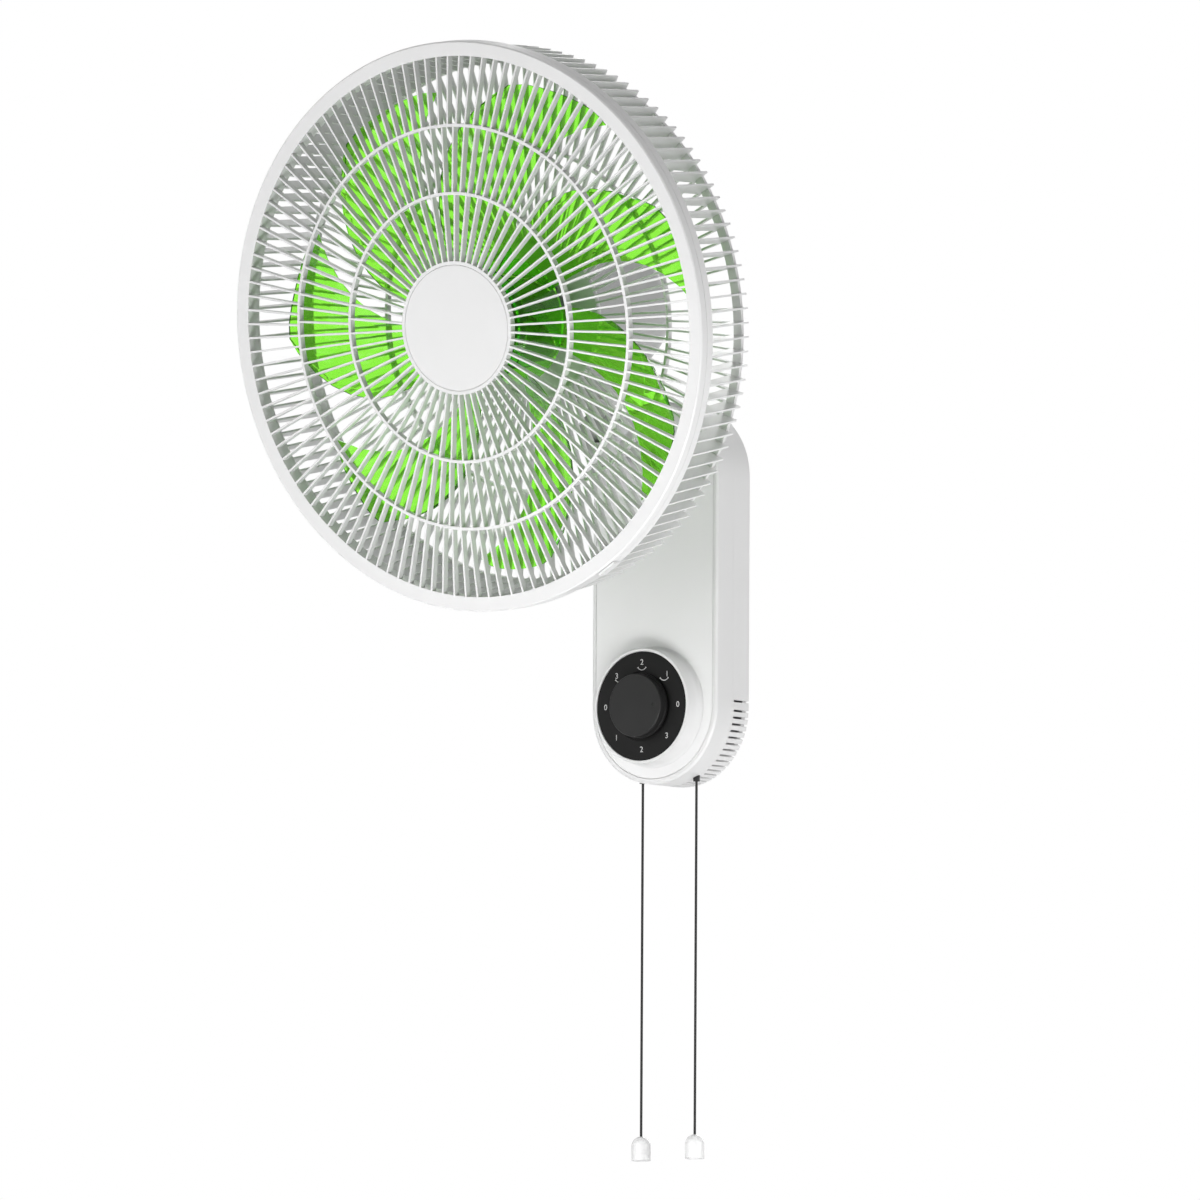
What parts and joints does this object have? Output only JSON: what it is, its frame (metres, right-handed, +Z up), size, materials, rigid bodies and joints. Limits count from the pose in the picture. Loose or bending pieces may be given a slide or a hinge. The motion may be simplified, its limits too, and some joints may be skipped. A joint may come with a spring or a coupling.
{
  "type": "wall mounted fan",
  "caption": "Wall fan with a caged seven-vane impeller on a tilting, swinging head, a curved arm, and a pill-shaped wall body with a rotary dial and pull cords.",
  "frame": {"origin": "middle of the wall plate's screw holes, on the wall face", "axes": "+Z up the wall, -Y out of the wall into the room, +X to the right as seen from the room"},
  "size_m": [0.44, 0.3199, 0.8472],
  "materials": {
    "zinc_steel": "zinc plated",
    "turned_steel": "turned and ground",
    "white_shell": "fine moulded grain",
    "arm_paint": "satin powder coat",
    "panel_grey": "fine moulded grain",
    "dial_black": "smooth satin",
    "knob_black": "smooth satin",
    "switch_grey": "plain moulded",
    "natural_nylon": "natural nylon",
    "capacitor_black": "plain moulded",
    "cord_black": "braided",
    "cast_alloy": "painted casting",
    "housing_grey": "fine moulded grain",
    "bracket_grey": "die cast",
    "core_steel": "varnished laminations",
    "copper_wire": "enamelled winding",
    "blade_green": "clear green moulding",
    "nut_grey": "plain moulded",
    "guard_white": "semi-gloss moulding"
  },
  "bodies": {
    "wall_unit": {"wall_plate": "zinc_steel", "back_shell": "white_shell", "front_shell": "white_shell", "front_panel": "panel_grey", "shell_screws": "zinc_steel", "dial_collar": "white_shell", "dial_face": "dial_black", "rotary_switch": "switch_grey", "terminal_block": "natural_nylon", "run_capacitor": "capacitor_black", "pull_switch_left": "switch_grey", "pull_switch_right": "switch_grey", "cord_bush_left": "white_shell", "cord_bush_right": "white_shell", "arm": "arm_paint", "arm_screws": "zinc_steel", "arm_trim": "white_shell", "tilt_bolt": "zinc_steel", "tilt_nut": "zinc_steel", "tilt_washers": "zinc_steel"},
    "knob_unit": {"knob": "knob_black", "knob_shaft": "turned_steel"},
    "pull_left_unit": {"pull_cord_left": "cord_black", "pull_left": "white_shell", "pull_slider_left": "natural_nylon"},
    "pull_right_unit": {"pull_cord_right": "cord_black", "pull_right": "white_shell", "pull_slider_right": "natural_nylon"},
    "neck": {"knuckle": "cast_alloy", "pan_post": "turned_steel", "thrust_washer": "natural_nylon", "swing_gear": "natural_nylon", "post_clip": "zinc_steel"},
    "head": {"swing_lid": "housing_grey", "lid_screws": "zinc_steel", "swing_motor": "zinc_steel", "motor_cover": "housing_grey", "front_bracket": "bracket_grey", "rear_bracket": "bracket_grey", "motor_bolts": "zinc_steel", "stator_core": "core_steel", "stator_windings": "copper_wire", "front_bearing": "turned_steel", "rear_bearing": "turned_steel", "rear_guard": "guard_white", "guard_nut": "nut_grey", "front_guard": "guard_white", "guard_cap": "guard_white", "guard_clip": "guard_white"},
    "rotor": {"motor_shaft": "turned_steel", "rotor_core": "core_steel", "drive_pin": "zinc_steel", "impeller": "blade_green", "blade_nut": "nut_grey"},
    "pinion": {"swing_pinion": "natural_nylon"}
  },
  "joints": [
    {"name": "head_tilt", "type": "hinge", "parent": "wall_unit", "child": "neck", "pos_m": [0, -0.112, 0.122], "axis": [1, 0, 0], "range_deg": [-10, 12]},
    {"name": "head_swing", "type": "hinge", "parent": "neck", "child": "head", "pos_m": [0, -0.112, 0.122], "axis": [0, -0.1392, 0.9903], "range_deg": [-40, 40]},
    {"name": "impeller_spin", "type": "hinge", "parent": "head", "child": "rotor", "pos_m": [0, -0.28945, 0.18896], "axis": [0, -0.9903, -0.1392], "continuous": true},
    {"name": "pinion_turn", "type": "hinge", "parent": "head", "child": "pinion", "pos_m": [0, -0.08229, 0.12618], "axis": [0, -0.1392, 0.9903], "range_deg": [-165, 165]},
    {"name": "knob_turn", "type": "hinge", "parent": "wall_unit", "child": "knob_unit", "pos_m": [0, -0.0424, -0.089], "axis": [0, -1, 0], "continuous": true},
    {"name": "pull_left_slide", "type": "slide", "parent": "wall_unit", "child": "pull_left_unit", "axis": [0, 0, -1], "range_m": [0, 0.008], "stiffness_N_per_m": 300, "springref_m": -0.005},
    {"name": "pull_right_slide", "type": "slide", "parent": "wall_unit", "child": "pull_right_unit", "axis": [0, 0, -1], "range_m": [0, 0.008], "stiffness_N_per_m": 300, "springref_m": -0.005}
  ],
  "couplings": [
    {"joint": "pinion_turn", "follows": "head_swing", "ratio": 4}
  ]
}
